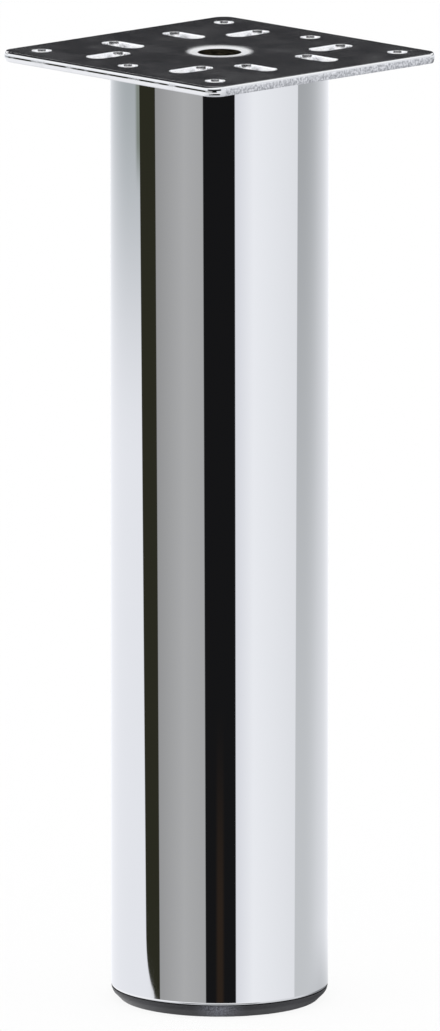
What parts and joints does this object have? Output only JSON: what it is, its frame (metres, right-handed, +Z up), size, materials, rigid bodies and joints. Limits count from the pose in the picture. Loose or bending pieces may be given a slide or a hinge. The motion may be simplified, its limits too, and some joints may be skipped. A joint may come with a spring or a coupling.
{
  "type": "furniture leg",
  "caption": "Round chromed tube leg for furniture, with a square slotted mounting plate on top and a black plastic levelling foot that screws out of the bottom.",
  "frame": {"origin": "on the floor under the foot, on the tube's axis", "axes": "+Z up along the tube; X and Y along the sides of the mounting plate"},
  "size_m": [0.086, 0.086, 0.265],
  "materials": {
    "chromed_plate": "bright chrome plate over punched steel",
    "chromed_tube": "mirror chrome plate over polished steel tube",
    "bare_steel": "mill finish pressed steel",
    "zinc_plated_steel": "zinc plated",
    "black_plastic": "fine moulded grain"
  },
  "bodies": {
    "leg": {"mounting_plate": "chromed_plate", "tube": "chromed_tube", "top_disc": "bare_steel", "top_bolt": "zinc_plated_steel", "top_nut": "zinc_plated_steel", "end_plug": "black_plastic", "plug_nut": "zinc_plated_steel"},
    "foot": {"foot_disc": "black_plastic", "foot_screw": "zinc_plated_steel"}
  },
  "joints": [
    {"name": "foot_travel", "type": "slide", "parent": "leg", "child": "foot", "axis": [0, 0, -1], "range_m": [0, 0.02]}
  ]
}
